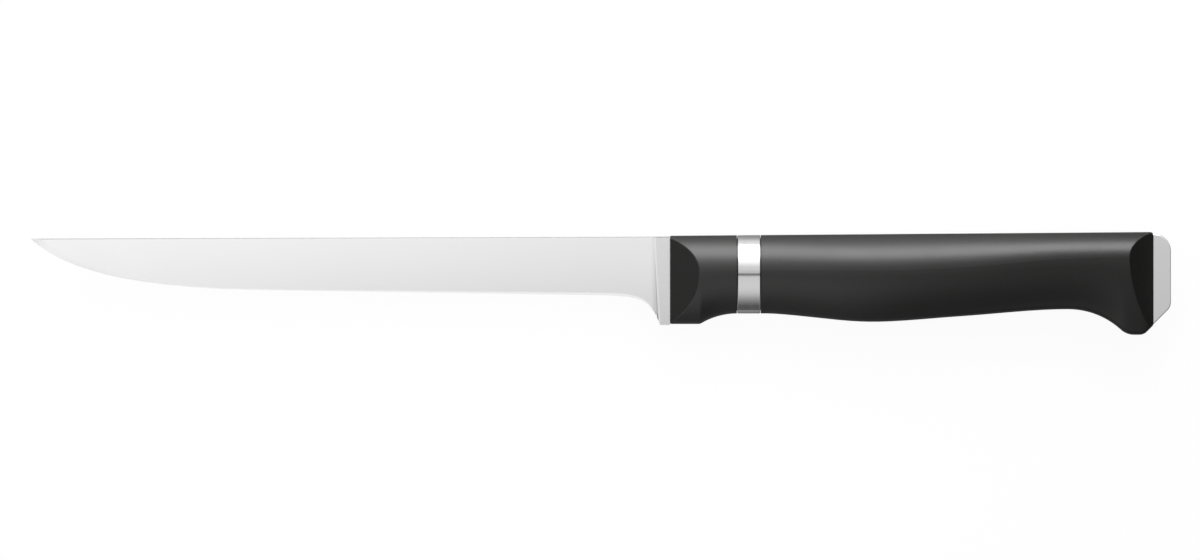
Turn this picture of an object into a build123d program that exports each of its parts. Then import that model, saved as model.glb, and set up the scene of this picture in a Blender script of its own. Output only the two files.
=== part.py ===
from build123d import *
import math
import os

# A fillet knife: a slim ground blade with a hidden full tang, closed between moulded handle halves
# that a steel ring clasps. While it is built, X runs back from the nose of the handle, where it is zero,
# so the blade lies on the minus side. Y is the height above the flat under the hook of the butt, and Z is
# the distance from the mid plane of the blade. At the end the knife is laid on its right side.

# Blade, one blank from the tip to the tongue behind the handle
blade_length = 180.0
blank_thickness = 2.0
spine_step_at_nose = 0.25  # below the crown of the handle
spine_drop_to_tip = 0.6
tip_angle = 43.5
belly_run = 70.2  # from the tip to where the edge runs straight
tip_pull_share = 0.235
belly_pull_share = 0.46
edge_height_at_belly = 12.5
edge_height_at_heel = 11.15
heel_run = 17.0  # from the straight edge to the spur
heel_pull_share = 0.70
spur_pull_share = 0.46
spur_length = 2.75
spur_step = 0.29  # below the underside of the collar
spur_angle = 69.0

# Grinding of the blade
spine_thickness_at_nose = 1.82
spine_thickness_at_tip = 1.15
thickness_behind_edge = 0.4
bevel_angle = 15.0
edge_thickness = 0.08
plunge_at_spine = 5.15
plunge_at_middle = 4.2
plunge_at_edge = 3.4
plunge_draft = 24.0
plunge_lead_height = 0.2  # the last rise of the plunge, laid back to run out at the spine
plunge_lead_draft = 68.0
spine_chamfer_width = 0.2
spine_chamfer_angle = 60.0

# Tang and tongue
tang_cover = 2.9  # plastic above the tang at the nose and below it at the waist
tang_flare_reach = 22.0  # from the start of the flare to the butt
tang_flare_length = 11.0
tang_flare_cover = 2.2
tang_corner_radius = 3.0
tongue_length = 4.9
tongue_top_step = 0.55  # below the crown of the handle
tongue_bottom_step = 0.25  # above the foot of the butt
tongue_top_radius = 4.8
tongue_bottom_radius = 3.2
tongue_round = 0.3

# Handle outline
handle_length = 136.1
crown_height_at_nose = 27.9
crown_height_at_butt = 28.95
collar_underside = 3.04
collar_arch_radius = 20.0
lip_radius = 1.5
ring_underside = 6.0
belly_place = 57.0
belly_underside = 3.66
slope_place_share = 0.45  # of the way from the belly to the waist
slope_rise_share = 0.44
waist_underside = 7.2
hook_arch_radius = 22.0
hook_toe_radius = 5.5
hook_flat = 1.5
hook_heel_radius = 3.0
hook_chamfer = 2.7

# Handle section: half widths, the height of the widest line, and the narrow keel underneath
half_width_at_nose = 8.7
half_width_at_ring = 8.7
half_width_at_belly = 9.1
half_width_at_waist = 8.45
half_width_at_hook = 8.75
shoulder_at_nose = 17.9
shoulder_at_ring = 18.25
shoulder_at_belly = 18.1
shoulder_at_slope = 18.95
shoulder_at_waist = 21.4
shoulder_at_butt = 21.9
keel_at_nose = 1.6
keel_at_hook = 2.3
keel_round = 1.0
keel_lean_at_nose_share = 1.0
keel_lean_at_hook_share = 0.4
crown_pull_at_nose_share = 0.385
crown_pull_at_ring_share = 0.32
crown_pull_at_belly_share = 0.12
crown_pull_at_waist_share = 0.345
crown_pull_at_butt_share = 0.5
shoulder_pull_at_nose_share = 0.555
shoulder_pull_at_belly_share = 0.64
shoulder_pull_at_waist_share = 0.6
shoulder_pull_at_butt_share = 0.5
flank_pull_share = 0.42
flank_end_share = 0.27

# Facets at the two ends of the handle
nose_half_width = 2.1
nose_facet_length = 8.3
nose_facet_lean = 2.2  # degrees, further out towards the crown
butt_half_width = 1.5
butt_facet_length = 7.05
facet_round = 0.4
nose_round = 0.4
butt_round = 0.9

# Ring, a strip rolled round the joint of collar and grip
ring_front = 18.95
ring_length = 6.45
ring_thickness = 0.8
ring_chamfer = 0.18
ring_clearance = 0.06
ring_side_gap = 0.14
ring_seam_gap = 0.12

# Pins through the tang
pin_diameter = 4.0
pin_length = 11.0
pin_clearance = 0.05
pin_chamfer = 0.4
collar_pin_place = 12.6
grip_pin_first_place = 50.0
grip_pin_pitch = 27.0
grip_pin_count = 3

# Fits and finish
tang_clearance = 0.05
edge_break = 0.1
seam_break = 0.12
overrun = 3.0
near = 0.01  # places this close count as one

# Places and heights that follow
ring_rear = ring_front + ring_length
joint_place = ring_front + ring_length / 2
collar_end = ring_front - ring_side_gap
grip_start = ring_rear + ring_side_gap
seat_inset = ring_thickness + ring_clearance
half_blank = blank_thickness / 2
spine_height = crown_height_at_nose - spine_step_at_nose
spur_height = collar_underside - spur_step
tongue_end = handle_length + tongue_length
tongue_top = crown_height_at_butt - tongue_top_step
tongue_bottom = hook_chamfer + tongue_bottom_step


# Height, width or share at a place, on a smooth line through the stations that doesn't overshoot them
def glide(stations, place):
    places = [s[0] for s in stations]
    values = [s[1] for s in stations]
    rises = [(values[i + 1] - values[i]) / (places[i + 1] - places[i]) for i in range(len(stations) - 1)]
    slopes = [0]
    for before, after in zip(rises, rises[1:]):
        slopes.append(2 * before * after / (before + after) if before * after > 0 else 0)
    slopes.append(0)
    place = min(max(place, places[0]), places[-1])
    i = 0
    while i < len(rises) - 1 and place > places[i + 1]:
        i += 1
    step = places[i + 1] - places[i]
    t = (place - places[i]) / step
    value = (2 * t**3 - 3 * t**2 + 1) * values[i] + (3 * t**2 - 2 * t**3) * values[i + 1]
    return value + step * ((t**3 - 2 * t**2 + t) * slopes[i] + (t**3 - t**2) * slopes[i + 1])


# Distance between the centres, along the handle, of an arch and of a smaller arc that leads it into a flat
def centre_distance(arch_radius, arch_top, arc_radius, flat_height):
    rise = flat_height + arc_radius - (arch_top - arch_radius)
    return math.sqrt((arch_radius + arc_radius) ** 2 - rise**2)


lip_distance = centre_distance(collar_arch_radius, ring_underside, lip_radius, collar_underside)
lip_centre = ring_front - lip_distance
lip_end = ring_front - lip_distance * collar_arch_radius / (collar_arch_radius + lip_radius)
heel_corner = handle_length - hook_chamfer
heel_centre = heel_corner - hook_heel_radius * math.tan(math.radians(45 / 2))
heel_end = heel_centre + hook_heel_radius * math.sin(math.radians(45))
toe_centre = heel_centre - hook_flat
toe_distance = centre_distance(hook_arch_radius, waist_underside, hook_toe_radius, 0)
waist_place = toe_centre - toe_distance
toe_start = waist_place + toe_distance * hook_arch_radius / (hook_arch_radius + hook_toe_radius)
slope_place = belly_place + slope_place_share * (waist_place - belly_place)
slope_underside = belly_underside + slope_rise_share * (waist_underside - belly_underside)


# Height of an arc above its lowest point, or below its highest, at a distance from its centre
def arc_drop(radius, distance):
    return radius - math.sqrt(radius**2 - distance**2)


# Height of the handle's underside in the mid plane
def underside(x):
    if x <= lip_centre:
        return collar_underside
    if x <= lip_end:
        return collar_underside + arc_drop(lip_radius, x - lip_centre)
    if x <= ring_front:
        return ring_underside - arc_drop(collar_arch_radius, ring_front - x)
    if x <= waist_place:
        dips = [
            (ring_front, ring_underside),
            (ring_rear, ring_underside),
            (belly_place, belly_underside),
            (slope_place, slope_underside),
            (waist_place, waist_underside),
        ]
        return glide(dips, x)
    if x <= toe_start:
        return waist_underside - arc_drop(hook_arch_radius, x - waist_place)
    if x <= toe_centre:
        return arc_drop(hook_toe_radius, toe_centre - x)
    if x <= heel_centre:
        return 0
    if x <= heel_end:
        return arc_drop(hook_heel_radius, x - heel_centre)
    return x - heel_corner


def crown(x):
    return crown_height_at_nose + (crown_height_at_butt - crown_height_at_nose) * x / handle_length


def half_width(x):
    widths = [
        (0, half_width_at_nose),
        (joint_place, half_width_at_ring),
        (belly_place, half_width_at_belly),
        (waist_place, half_width_at_waist),
        (toe_centre, half_width_at_hook),
    ]
    return glide(widths, x)


def shoulder(x):
    heights = [
        (0, shoulder_at_nose),
        (joint_place, shoulder_at_ring),
        (belly_place, shoulder_at_belly),
        (slope_place, shoulder_at_slope),
        (waist_place, shoulder_at_waist),
        (handle_length, shoulder_at_butt),
    ]
    return glide(heights, x)


# How far the crown runs level on its way to the side, as a share of the half width
crown_pulls = [
    (0, crown_pull_at_nose_share),
    (joint_place, crown_pull_at_ring_share),
    (belly_place, crown_pull_at_belly_share),
    (waist_place, crown_pull_at_waist_share),
    (handle_length, crown_pull_at_butt_share),
]

# How far the side runs on upright above the widest line, as a share of the height left to the crown
shoulder_pulls = [
    (0, shoulder_pull_at_nose_share),
    (belly_place, shoulder_pull_at_belly_share),
    (waist_place, shoulder_pull_at_waist_share),
    (handle_length, shoulder_pull_at_butt_share),
]


# Closed section of the handle at a place, drawn in by an inset: crown, flank and keel on both sides
def handle_section(x, inset=0):
    top = crown(x) - inset
    bottom = underside(x) + inset
    side = half_width(x) - inset
    middle = shoulder(x)
    keel = glide([(joint_place, keel_at_nose), (toe_centre, keel_at_hook)], x)
    lean = glide([(joint_place, keel_lean_at_nose_share), (toe_centre, keel_lean_at_hook_share)], x)
    crown_pull = glide(crown_pulls, x)
    crown_side = middle + glide(shoulder_pulls, x) * (top - middle)
    flank = middle - bottom
    flank_side = middle - flank_pull_share * flank
    flank_foot = flank_end_share * flank
    sides = []
    for z in (1, -1):
        shoulder_point = (x, middle, z * side)
        keel_point = (x, bottom + keel_round, z * (keel + lean * keel_round))
        crown_end = (x, top, z * crown_pull * side)
        flank_end = (x, bottom + flank_foot, z * (keel + lean * flank_foot))
        over = Bezier((x, top, 0), crown_end, (x, crown_side, z * side), shoulder_point)
        down = Bezier(shoulder_point, (x, flank_side, z * side), flank_end, keel_point)
        under = Bezier(keel_point, (x, bottom, z * keel), (x, bottom, 0))
        sides.append([over, down, under])
    return Wire(sides[0] + sides[1][::-1])


# Solid between two places, lofted through evenly spaced sections, or ruled from one inset to another
def stretch(start, end, count=1, inset=0, end_inset=None):
    places = [start + (end - start) * i / count for i in range(count + 1)]
    insets = [inset] * count + [inset if end_inset is None else end_inset]
    return Solid.make_loft([handle_section(x, i) for x, i in zip(places, insets)], ruled=count == 1)


# Keeps what lies behind a plane, seen along its normal
def trim(body, point, normal):
    return split(body, bisect_by=Plane(origin=point, z_dir=normal), keep=Keep.BOTTOM)


# The two planes that narrow an end of the handle towards its face, turned outwards at the crown by a lean
def facet(body, face_place, face_half_width, length, outwards, lean=0):
    slope = (half_width(face_place - outwards * length) - face_half_width) / length
    fall = -math.tan(math.radians(lean))
    for z in (1, -1):
        point = (face_place, shoulder(face_place), z * face_half_width)
        body = trim(body, point, (outwards * slope, fall, z))
    return body


# Rounds the edges of the face at an end of the handle, above and below, and those of its two facets
def soften(body, face_place, face_round):
    rims = [
        e for e in body.edges()
        if e.geom_type != GeomType.LINE
        and max(abs(e.bounding_box().min.X - face_place), abs(e.bounding_box().max.X - face_place)) < near
    ]
    body = body.fillet(face_round, rims)
    facets = [f for f in body.faces() if f.geom_type == GeomType.PLANE and abs(f.normal_at().Z) > 0.5]
    return body.fillet(facet_round, [e for f in facets for e in f.edges()])


# Left and right half of a handle body, with the seam between them broken and room for tang and pins
def halves(body, hollows):
    right = split(body, bisect_by=Plane.XY, keep=Keep.BOTTOM)
    boxes = [(e, e.bounding_box()) for e in right.edges()]
    seam = [e for e, box in boxes if max(abs(box.min.Z), abs(box.max.Z)) < near]
    right = right.chamfer(seam_break, None, seam) - hollows
    return mirror(right, about=Plane.XY), right


# Straight round pin along Z through the tang at a place
def pin_at(place, radius, length):
    return Pos(place, (tang_top + tang_bottom) / 2, 0) * Cylinder(radius, length)


# Collar: the nose of the handle, with its two facets and a seat for the ring behind
collar = stretch(0, lip_centre)
collar += stretch(lip_centre, lip_end, 2)
collar += stretch(lip_end, collar_end - edge_break, 5)
collar += stretch(collar_end - edge_break, collar_end, 1, 0, edge_break)
collar += stretch(collar_end, joint_place, 1, seat_inset)
collar = facet(collar, 0, nose_half_width, nose_facet_length, -1, nose_facet_lean)
collar = soften(collar, 0, nose_round)

# Grip: from the seat of the ring over the belly and the waist to the hook
grip = stretch(joint_place, grip_start, 1, seat_inset)
grip += stretch(grip_start, grip_start + edge_break, 1, edge_break, 0)
grip += stretch(grip_start + edge_break, waist_place, 12)
grip += stretch(waist_place, toe_start, 5)
grip += stretch(toe_start, toe_centre, 3)
grip += stretch(toe_centre, heel_centre)
grip += stretch(heel_centre, heel_end, 3)
grip += stretch(heel_end, handle_length)
grip = facet(grip, handle_length, butt_half_width, butt_facet_length, 1)
grip = soften(grip, handle_length, butt_round)

# Ring, flush with the handle, its edges broken and its two ends butted under the handle
ring = stretch(ring_front, ring_front + ring_chamfer, 1, ring_chamfer, 0)
ring += stretch(ring_front + ring_chamfer, ring_rear - ring_chamfer)
ring += stretch(ring_rear - ring_chamfer, ring_rear, 1, 0, ring_chamfer)
ring -= stretch(ring_front, ring_rear, 1, ring_thickness)
ring -= Pos(joint_place, ring_underside, 0) * Box(ring_length + overrun, 2 * overrun, ring_seam_gap)

# Outline of the blade in the mid plane: a drawn-out belly, a straight edge and a hollow before the spur
tip = Vector(-blade_length, spine_height - spine_drop_to_tip)
belly_end = Vector(-blade_length + belly_run, edge_height_at_belly)
spur_front = Vector(-spur_length, spur_height)
heel_start = Vector(-spur_length - heel_run, edge_height_at_heel)
edge_way = (heel_start - belly_end).normalized()
tip_way = Vector(1, 0).rotate(Axis.Z, -tip_angle)
spur_way = Vector(1, 0).rotate(Axis.Z, -spur_angle)
cutting_edge = [
    Bezier(
        tip,
        tip + tip_way * tip_pull_share * belly_run,
        belly_end - edge_way * belly_pull_share * belly_run,
        belly_end,
    ),
    Line(belly_end, heel_start),
    Bezier(
        heel_start,
        heel_start + edge_way * heel_pull_share * heel_run,
        spur_front - spur_way * spur_pull_share * heel_run,
        spur_front,
    ),
]
rest_of_outline = Polyline(spur_front, (0, spur_height), (0, spine_height), tip)
blank = extrude(Face(Wire(cutting_edge + rest_of_outline.edges())), amount=half_blank, both=True)

# Ground flanks, one plane a side, through the thickness at the spine and behind the edge
nose_point = Vector(0, spine_height, spine_thickness_at_nose / 2)
tip_point = Vector(tip.X, tip.Y, spine_thickness_at_tip / 2)
heel_point = Vector(heel_start.X, heel_start.Y, thickness_behind_edge / 2)
flank_way = (tip_point - nose_point).cross(heel_point - nose_point)
ground = blank
for z in (1, -1):
    start = (nose_point.X, nose_point.Y, z * nose_point.Z)
    ground = trim(ground, start, (flank_way.X, flank_way.Y, z * flank_way.Z))

# Bevel of the cutting edge, cut by a wedge swept along it from beyond the tip to below the spur
bevel_start = tip - tip_way * 2 * overrun
bevel_path = [Line(bevel_start, tip)] + cutting_edge + [Line(spur_front, spur_front + spur_way * overrun)]
bevel_plane = Plane(origin=bevel_start, x_dir=tip_way.rotate(Axis.Z, 90), z_dir=tip_way)
bevel_level = edge_thickness / 2
bevel_lift = overrun * math.tan(math.radians(bevel_angle))
for z in (1, -1):
    corners = [
        (-overrun, z * (bevel_level - bevel_lift), 0),
        (overrun, z * (bevel_level + bevel_lift), 0),
        (overrun, z * overrun, 0),
        (-overrun, z * overrun, 0),
    ]
    wedge = Face(Wire.make_polygon([bevel_plane.from_local_coords(corner) for corner in corners]))
    ground -= sweep(wedge, path=Wire(bevel_path))

# Ricasso and spur, left at full thickness behind the plunge of the grinding
plunge_top = spine_height + overrun
plunge_foot = spur_height - overrun
plunge = ThreePointArc(
    (-plunge_at_spine, plunge_top),
    (-plunge_at_middle, (plunge_top + plunge_foot) / 2),
    (-plunge_at_edge, plunge_foot),
)
behind = Polyline(plunge @ 1, (overrun, plunge_foot), (overrun, plunge_top), plunge @ 0)
wall_height = half_blank - plunge_lead_height
wall = extrude(Face(Wire([plunge] + behind.edges())), amount=wall_height, taper=plunge_draft)
wall += extrude(wall.faces().sort_by(Axis.Z)[-1], amount=plunge_lead_height, taper=plunge_lead_draft)
blade = ground + (blank & (wall + mirror(wall, about=Plane.XY)))

# Spine eased by one steep plane a side, through a line below the spine on the ground flank
chamfer_fall = spine_chamfer_width * math.tan(math.radians(spine_chamfer_angle))
chamfer_way = Vector(0, spine_chamfer_width, -chamfer_fall).cross(tip_point - nose_point)
for z in (1, -1):
    start = (nose_point.X, nose_point.Y - spine_chamfer_width, z * nose_point.Z)
    blade = trim(blade, start, (chamfer_way.X, chamfer_way.Y, z * chamfer_way.Z))

# Tang, flared towards the butt
tang_top = crown_height_at_nose - tang_cover
tang_bottom = waist_underside + tang_cover
flare_start = handle_length - tang_flare_reach
flare_end = flare_start + tang_flare_length
flare_top = tongue_top - tang_flare_cover
flare_bottom = tongue_bottom + tang_flare_cover
tang_face = Face(Wire.make_polygon([
    (0, tang_bottom),
    (flare_start, tang_bottom),
    (flare_end, flare_bottom),
    (handle_length, flare_bottom),
    (handle_length, flare_top),
    (flare_end, flare_top),
    (flare_start, tang_top),
    (0, tang_top),
]))
flare_corners = [v for v in tang_face.vertices() if near < v.X < handle_length - near]
tang_face = tang_face.fillet_2d(tang_corner_radius, flare_corners)

# Tongue, the plate that shows behind the butt
tongue_face = Face(Wire.make_polygon([
    (handle_length, tongue_bottom),
    (tongue_end, tongue_bottom + tongue_length),
    (tongue_end, tongue_top),
    (handle_length, tongue_top),
]))
lower_corner = [v for v in tongue_face.vertices() if v.X > tongue_end - near and v.Y < tongue_top - near]
tongue_face = tongue_face.fillet_2d(tongue_bottom_radius, lower_corner)
upper_corner = [v for v in tongue_face.vertices() if v.X > tongue_end - near and v.Y > tongue_top - near]
tongue_face = tongue_face.fillet_2d(tongue_top_radius, upper_corner)
tongue = extrude(tongue_face, amount=half_blank, both=True)
tongue_rim = [
    e for e in tongue.edges()
    if e.center().X > handle_length + near and e.bounding_box().size.Z < near
]
blade += tongue.fillet(tongue_round, tongue_rim)
blade += extrude(tang_face, amount=half_blank, both=True)

# Pins, and the holes that they need in the tang and in the handle
grip_pin_places = [grip_pin_first_place + i * grip_pin_pitch for i in range(grip_pin_count)]
pins = []
for place in [collar_pin_place] + grip_pin_places:
    pin = pin_at(place, pin_diameter / 2, pin_length)
    pins.append(chamfer(pin.edges().filter_by(GeomType.CIRCLE), pin_chamfer))
hollows = [
    pin_at(place, pin_diameter / 2 + pin_clearance, pin_length + 2 * pin_clearance)
    for place in [collar_pin_place] + grip_pin_places
]
blade -= hollows
hollows.append(extrude(offset(tang_face, tang_clearance), amount=half_blank + tang_clearance, both=True))
collar_left, collar_right = halves(collar, hollows)
grip_left, grip_right = halves(grip, hollows)

# The knife laid on its right side, with the middle of its outline over the origin
nodes = {
    "blade": [blade],
    "collar_left": [collar_left],
    "collar_right": [collar_right],
    "ring": [ring],
    "grip_left": [grip_left],
    "grip_right": [grip_right],
    "collar_pin": pins[:1],
    "grip_pins": pins[1:],
}
pieces = {name: [solid for shape in shapes for solid in shape.solids()] for name, shapes in nodes.items()}
box = Compound(children=[solid for solids in pieces.values() for solid in solids]).bounding_box()
laid = Pos(-box.center().X, -box.center().Y, -box.min.Z)
os.makedirs("parts", exist_ok=True)
for name, solids in pieces.items():
    export_step(Compound(children=[laid * solid for solid in solids]), "parts/" + name + ".step")
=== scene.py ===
import math
import bpy
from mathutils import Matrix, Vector

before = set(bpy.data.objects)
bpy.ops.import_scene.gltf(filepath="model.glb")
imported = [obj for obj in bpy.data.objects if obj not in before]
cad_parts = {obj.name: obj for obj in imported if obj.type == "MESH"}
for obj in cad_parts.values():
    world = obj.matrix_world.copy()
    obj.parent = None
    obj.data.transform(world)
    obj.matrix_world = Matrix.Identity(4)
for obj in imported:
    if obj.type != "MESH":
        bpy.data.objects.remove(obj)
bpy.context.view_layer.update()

print("frame loaded:", len(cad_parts), "nodes")


class Flow:  # a socket of a shader; sums, differences and products of it add Math nodes
    def __init__(self, maker, node, output):
        self.maker = maker
        self.owner = node
        self.socket = node.outputs[output]

    def out(self, output):  # another output of the same node
        return Flow(self.maker, self.owner, output)

    def __add__(self, other):
        return self.maker.maths("ADD", self, other)

    def __radd__(self, other):
        return self.maker.maths("ADD", other, self)

    def __sub__(self, other):
        return self.maker.maths("SUBTRACT", self, other)

    def __rsub__(self, other):
        return self.maker.maths("SUBTRACT", other, self)

    def __mul__(self, other):
        return self.maker.maths("MULTIPLY", self, other)

    def __rmul__(self, other):
        return self.maker.maths("MULTIPLY", other, self)


class NodeMaker:  # puts nodes into the tree of a material, a light or the world
    def __init__(self, owner):
        owner.use_nodes = True
        self.tree = owner.node_tree
        self.tree.nodes.clear()

    def node(self, kind, settings=None, sockets=None, output=0):
        made = self.tree.nodes.new(kind)
        for name, value in (settings or {}).items():
            setattr(made, name, value)
        for name, value in (sockets or {}).items():
            if isinstance(value, Flow):
                self.tree.links.new(value.socket, made.inputs[name])
            else:
                made.inputs[name].default_value = value
        return Flow(self, made, output) if len(made.outputs) else None

    def maths(self, operation, *values):
        return self.node("ShaderNodeMath", {"operation": operation}, dict(enumerate(values)))

    def blendColour(self, share, first, second):
        return self.node("ShaderNodeMix", {"data_type": "RGBA"}, {0: share, 6: first, 7: second}, 2)

    def between(self, value, low, high):  # 0 at low, 1 at high, smooth in between
        sockets = {"Value": value, "From Min": low, "From Max": high}
        return self.node("ShaderNodeMapRange", {"interpolation_type": "SMOOTHSTEP"}, sockets)

    def place(self, scale=(1, 1, 1)):  # where a point lies on the piece, stretched for a grain
        spot = self.node("ShaderNodeTexCoord", output="Object")
        return self.node("ShaderNodeMapping", sockets={"Vector": spot, "Scale": scale})

    def grain(self, spot, size, detail):  # noise with features of about this size, in metres
        sockets = {"Vector": spot, "Scale": 1 / size, "Detail": detail}
        return self.node("ShaderNodeTexNoise", sockets=sockets)

    def around(self, value, *swings):  # a value that each noise moves up and down by half its span
        for noise, span in swings:
            value = value + span * (noise - 0.5)
        return value

    def axes(self, vector):  # a vector's X, Y and Z
        parts = self.node("ShaderNodeSeparateXYZ", sockets={0: vector})
        return parts.out("X"), parts.out("Y"), parts.out("Z")

    def principled(self, sockets):
        shader = self.node("ShaderNodeBsdfPrincipled", sockets=sockets)
        self.node("ShaderNodeOutputMaterial", sockets={"Surface": shader})


def grey(tone, warmth=0.0):  # a colour of about this tone, warmer or cooler than neutral
    return (tone * (1 + warmth), tone, tone * (1 - warmth), 1)


def dress(names, material):
    for name in names:
        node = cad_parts[name]
        node.data.materials.clear()
        node.data.materials.append(material)


# Blade, tang and tongue: one blank of satin ground stainless steel
bladeLook = {  # painted light and shade: the tones run from tip to tongue, darker at the tip, heel and ricasso and lighter on the tongue as the light falls along the knife, each let in between two places along the knife
    "tipTone": 0.76,
    "middleTone": 0.855,
    "heelTone": 0.82,
    "ricassoTone": 0.64,
    "tongueTone": 0.9,
    "middleEdges": (-0.165, -0.085),
    "heelEdges": (-0.06, 0.01),
    "ricassoEdges": (0.014, 0.016),
    "tongueEdges": (0.15, 0.155),
    "roughness": 0.24,
    "lineRoughness": 0.06,
    "cloudRoughness": 0.08,
    "cloudSize": 0.02,
    "detail": 3,
    "lineSpacing": 0.00014,
    "lineStretch": 0.015,
    "lineDepth": 0.0000012,
}


def bladeSteel(look):
    material = bpy.data.materials.new("bladeSteel")
    maker = NodeMaker(material)
    spot = maker.place()
    lines = maker.grain(maker.place((1, look["lineStretch"], 1)), look["lineSpacing"], look["detail"])
    clouds = maker.grain(spot, look["cloudSize"], look["detail"])
    along = maker.axes(spot)[0]
    # painted light and shade: the steel's tone changes along the knife with how the light falls on it, not
    # with the steel
    tone = grey(look["tipTone"])
    for part in ("middle", "heel", "ricasso", "tongue"):
        share = maker.between(along, *look[part + "Edges"])
        tone = maker.blendColour(share, tone, grey(look[part + "Tone"]))
    rough = maker.around(look["roughness"], (lines, look["lineRoughness"]), (clouds, look["cloudRoughness"]))
    bump = maker.node("ShaderNodeBump", sockets={"Distance": look["lineDepth"], "Height": lines})
    maker.principled({"Base Color": tone, "Metallic": 1.0, "Roughness": rough, "Normal": bump})
    return material


# Handle: dense black plastic with a satin moulded skin
handleLook = {
    "tone": 0.0022,
    "warmth": 0.15,
    "roughness": 0.42,
    "ior": 1.54,
    "skinSize": 0.00035,
    "skinDepth": 0.0000025,
    "skinDetail": 2,
    "skinRoughness": 0.05,
    "cloudSize": 0.012,
    "cloudDetail": 3,
    "cloudRoughness": 0.06,
}


def handlePlastic(look):
    material = bpy.data.materials.new("handlePlastic")
    maker = NodeMaker(material)
    skin = maker.grain(maker.place(), look["skinSize"], look["skinDetail"])
    clouds = maker.grain(maker.place(), look["cloudSize"], look["cloudDetail"])
    rough = maker.around(look["roughness"], (skin, look["skinRoughness"]), (clouds, look["cloudRoughness"]))
    bump = maker.node("ShaderNodeBump", sockets={"Distance": look["skinDepth"], "Height": skin})
    colour = grey(look["tone"], look["warmth"])
    maker.principled({"Base Color": colour, "IOR": look["ior"], "Roughness": rough, "Normal": bump})
    return material


# Ring: stainless strip, brushed round the handle
ringLook = {
    "tone": 0.56,
    "toneSpread": 0.1,
    "roughness": 0.17,
    "lineRoughness": 0.1,
    "lineSpacing": 0.00009,
    "lineStretch": 0.01,
    "lineDepth": 0.0000018,
    "detail": 3,
}


def ringSteel(look):
    material = bpy.data.materials.new("ringSteel")
    maker = NodeMaker(material)
    stretch = look["lineStretch"]
    lines = maker.grain(maker.place((1, stretch, stretch)), look["lineSpacing"], look["detail"])
    rough = maker.around(look["roughness"], (lines, look["lineRoughness"]))
    low, high = [grey(look["tone"] * (1 + side * look["toneSpread"])) for side in (-1, 1)]
    tone = maker.blendColour(lines, low, high)
    bump = maker.node("ShaderNodeBump", sockets={"Distance": look["lineDepth"], "Height": lines})
    maker.principled({"Base Color": tone, "Metallic": 1.0, "Roughness": rough, "Normal": bump})
    return material


# Pins: plain turned steel, hidden in the handle
pinLook = {
    "tone": 0.5,
    "roughness": 0.32,
    "lineRoughness": 0.1,
    "lineSpacing": 0.0001,
    "lineStretch": 0.02,
    "lineDepth": 0.000002,
    "detail": 2,
}


def pinSteel(look):
    material = bpy.data.materials.new("pinSteel")
    maker = NodeMaker(material)
    stretch = look["lineStretch"]
    lines = maker.grain(maker.place((stretch, stretch, 1)), look["lineSpacing"], look["detail"])
    rough = maker.around(look["roughness"], (lines, look["lineRoughness"]))
    bump = maker.node("ShaderNodeBump", sockets={"Distance": look["lineDepth"], "Height": lines})
    tone = grey(look["tone"])
    maker.principled({"Base Color": tone, "Metallic": 1.0, "Roughness": rough, "Normal": bump})
    return material


dress(["blade"], bladeSteel(bladeLook))
dress(["collar_left", "collar_right", "grip_left", "grip_right"], handlePlastic(handleLook))
dress(["ring"], ringSteel(ringLook))
dress(["collar_pin", "grip_pins"], pinSteel(pinLook))
print("finishes on:", ", ".join(sorted(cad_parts)))


# Studio: soft dome, a long bright softbox beside the spine, and paler cards over the knife
studioLook = {
    "domeTop": 0.57,
    "domeHorizon": 0.05,
    "domeEdge": 0.6,  # the height, on a dome one high, from which it is even
    "domeLean": 0.03,  # how much brighter the horizon is beyond the tip than beyond the butt
    "domeEdgeLean": 0.3,
    "domeGap": (-0.24, 0.06),  # dark seam overhead: its place across the dome and its half width
    "axisHeight": 0.01,  # of the line along the knife that the lights stand round
    "spineBox": {"arc": (50.0, 90.0), "reach": 1.0, "ends": (-0.33, 0.51), "levels": (7.4, 6.6)},
    "cards": (  # angles from straight up, distance, ends along the knife, and levels at the two sides
        {"arc": (-85.0, -66.0), "reach": 0.14, "ends": (-0.22, 0.07), "levels": (0.15, 0.55)},
        {"arc": (-66.0, -46.0), "reach": 0.14, "ends": (-0.22, 0.074), "levels": (0.55, 0.62)},
        {"arc": (-46.0, -16.0), "reach": 0.14, "ends": (-0.22, 0.086), "levels": (0.62, 0.55)},
        {"arc": (-9.0, 18.0), "reach": 0.14, "ends": (-0.22, 0.09), "levels": (0.46, 0.7)},
        {"arc": (18.0, 50.0), "reach": 0.14, "ends": (-0.22, 0.09), "levels": (0.8, 1.9)},
        {"arc": (-9.0, 18.0), "reach": 0.14, "ends": (0.09, 0.3), "levels": (0.12, 0.2)},
        {"arc": (18.0, 50.0), "reach": 0.14, "ends": (0.09, 0.3), "levels": (0.35, 1.4)},
    ),
    "noseCard": {"place": (-0.3, -0.1, 0.4), "size": (0.2, 0.4), "level": 0.4},
    "floorTone": 0.32,  # what the knife sees of the floor, painted shade: darker than the floor the camera sees, standing in for the floor shaded round the knife
    "brightTone": 0.9,  # white card on the floor beside the spine
    "brightEdges": (0.02, 0.06),
    "flagTone": 0.01,  # dark card on the floor beyond the butt
    "flagEdges": (0.12, 0.22),
    "floorShadow": 0.06,  # how far the floor that the camera sees takes on shadow
    "shadowedTone": 0.98,
    "floorGloss": 0.06,
    "floorDrop": 0.0002,
    "floorRadius": 4.0,
    "floorSides": 64,
}


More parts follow.
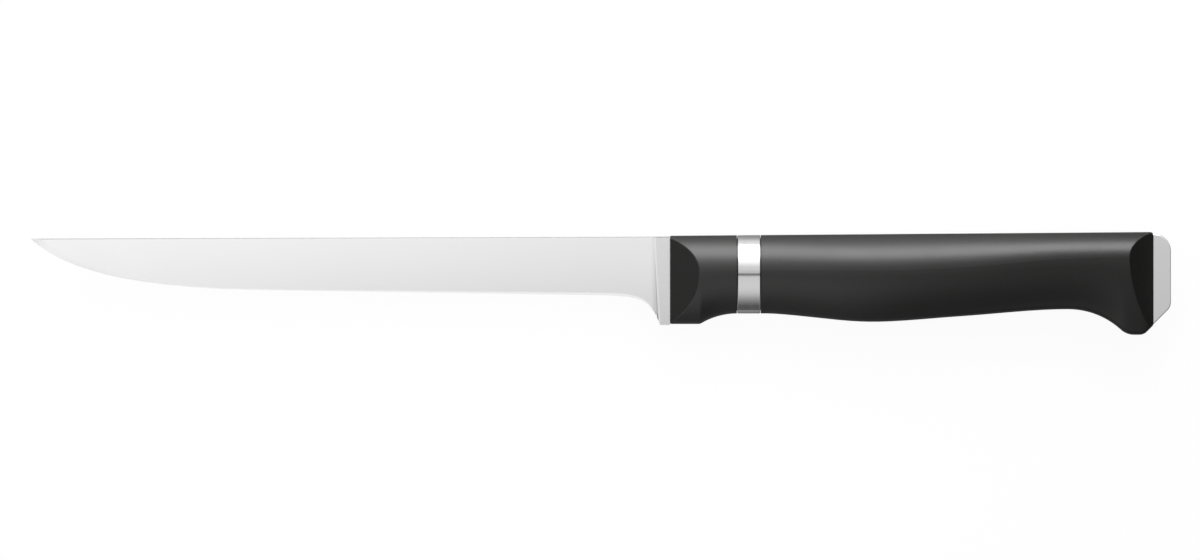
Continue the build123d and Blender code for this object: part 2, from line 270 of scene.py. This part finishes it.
def lightWorld(look):
    world = bpy.data.worlds.new("studio")
    bpy.context.scene.world = world
    maker = NodeMaker(world)
    x, y, z = maker.axes(maker.node("ShaderNodeTexCoord", output="Generated"))
    horizon = maker.maths("MAXIMUM", look["domeHorizon"] - look["domeLean"] * x, 0.0)
    edge = look["domeEdge"] + look["domeEdgeLean"] * maker.maths("ABSOLUTE", x)
    level = horizon + maker.between(z, 0.0, edge) * (look["domeTop"] - horizon)
    place, halfWidth = look["domeGap"]
    level = level * maker.between(maker.maths("ABSOLUTE", y - place), halfWidth / 2, halfWidth)
    dome = maker.node("ShaderNodeBackground", sockets={"Strength": level})
    white = maker.node("ShaderNodeBackground", sockets={"Color": grey(1.0)})
    seen = maker.node("ShaderNodeLightPath", output="Is Camera Ray")
    mixed = maker.node("ShaderNodeMixShader", sockets={0: seen, 1: dome, 2: white})
    maker.node("ShaderNodeOutputWorld", sockets={"Surface": mixed})


def addLight(name, centre, turn, size, levels):  # flat light, shaded from one side to the other
    data = bpy.data.lights.new(name, "AREA")
    data.shape = "RECTANGLE"
    data.size, data.size_y = size
    data.energy = math.pi * size[0] * size[1]
    maker = NodeMaker(data)
    across = maker.axes(maker.node("ShaderNodeNewGeometry", output="Parametric"))[1]
    level = levels[0] + across * (levels[1] - levels[0])
    glow = maker.node("ShaderNodeEmission", sockets={"Strength": level})
    maker.node("ShaderNodeOutputLight", sockets={"Surface": glow})
    light = bpy.data.objects.new(name, data)
    light.location = centre
    light.rotation_euler = turn
    light.visible_camera = False
    bpy.context.scene.collection.objects.link(light)


def arcLight(name, axisHeight, arc, reach, ends, levels):  # across an arc about the knife's long axis
    first, last = [Vector((0, math.sin(math.radians(a)), math.cos(math.radians(a)))) * reach for a in arc]
    middle = (first + last) / 2
    centre = middle + Vector((sum(ends) / 2, 0, axisHeight))
    turn = (-math.atan2(middle.y, middle.z), 0, 0)
    addLight(name, centre, turn, (ends[1] - ends[0], (last - first).length), levels)


def noseLight(place, size, level):  # beyond the tip, turned to the nose of the handle
    turn = Vector(place).to_track_quat("Z", "Y").to_euler()
    addLight("noseCard", place, turn, size, (level, level))


def paleFloor(look):
    material = bpy.data.materials.new("paleFloor")
    maker = NodeMaker(material)
    path = maker.node("ShaderNodeLightPath")
    x, y = maker.axes(maker.place())[:2]
    beside = maker.between(y, *look["brightEdges"])
    beyond = maker.between(x, *look["flagEdges"])
    # painted shade: the floor that the knife sees and is lit by is darker than the floor the camera sees,
    # except beside the spine and beyond the butt
    tone = maker.blendColour(beside, grey(look["floorTone"]), grey(look["brightTone"]))
    tone = maker.blendColour(beyond, tone, grey(look["flagTone"]))
    ground = maker.node("ShaderNodeBsdfDiffuse", sockets={"Color": tone})
    shadowed = maker.node("ShaderNodeBsdfDiffuse", sockets={"Color": grey(look["shadowedTone"])})
    white = maker.node("ShaderNodeEmission", sockets={"Color": grey(1.0), "Strength": 1.0})
    seen = maker.node("ShaderNodeMixShader", sockets={0: look["floorShadow"], 1: white, 2: shadowed})
    mirrored = path.out("Is Glossy Ray") + path.out("Is Transmission Ray")
    share = path.out("Is Camera Ray") + look["floorGloss"] * mirrored
    front = maker.node("ShaderNodeMixShader", sockets={0: share, 1: ground, 2: seen})
    back = maker.node("ShaderNodeBsdfTransparent")
    side = maker.node("ShaderNodeNewGeometry", output="Backfacing")
    both = maker.node("ShaderNodeMixShader", sockets={0: side, 1: front, 2: back})
    maker.node("ShaderNodeOutputMaterial", sockets={"Surface": both})
    mesh = bpy.data.meshes.new("floor")
    radius = look["floorRadius"]
    turns = [2 * math.pi * i / look["floorSides"] for i in range(look["floorSides"])]
    rim = [(radius * math.cos(turn), radius * math.sin(turn), -look["floorDrop"]) for turn in turns]
    mesh.from_pydata(rim, [], [list(range(len(rim)))])
    mesh.materials.append(material)
    floor = bpy.data.objects.new("floor", mesh)
    bpy.context.scene.collection.objects.link(floor)


lightWorld(studioLook)
arcLight("spineBox", studioLook["axisHeight"], **studioLook["spineBox"])
for card in studioLook["cards"]:
    arcLight("card", studioLook["axisHeight"], **card)
noseLight(**studioLook["noseCard"])
paleFloor(studioLook)
print("studio lit")

# Camera: straight above the knife, through a long lens
cameraLook = {
    "lens": 400.0,
    "sensor": 36.0,
    "viewWidth": 0.3379,  # seen across the picture at the height of the aim
    "aim": (-0.00021, 0.00096, 0.0091),
}


def topCamera(look):
    data = bpy.data.cameras.new("topCamera")
    data.lens = look["lens"]
    data.sensor_width = look["sensor"]
    camera = bpy.data.objects.new("topCamera", data)
    height = look["viewWidth"] * look["lens"] / look["sensor"]
    camera.location = Vector(look["aim"]) + Vector((0, 0, height))
    bpy.context.scene.collection.objects.link(camera)
    bpy.context.scene.camera = camera


topCamera(cameraLook)
bpy.context.scene.view_settings.view_transform = "Standard"
print("camera set")
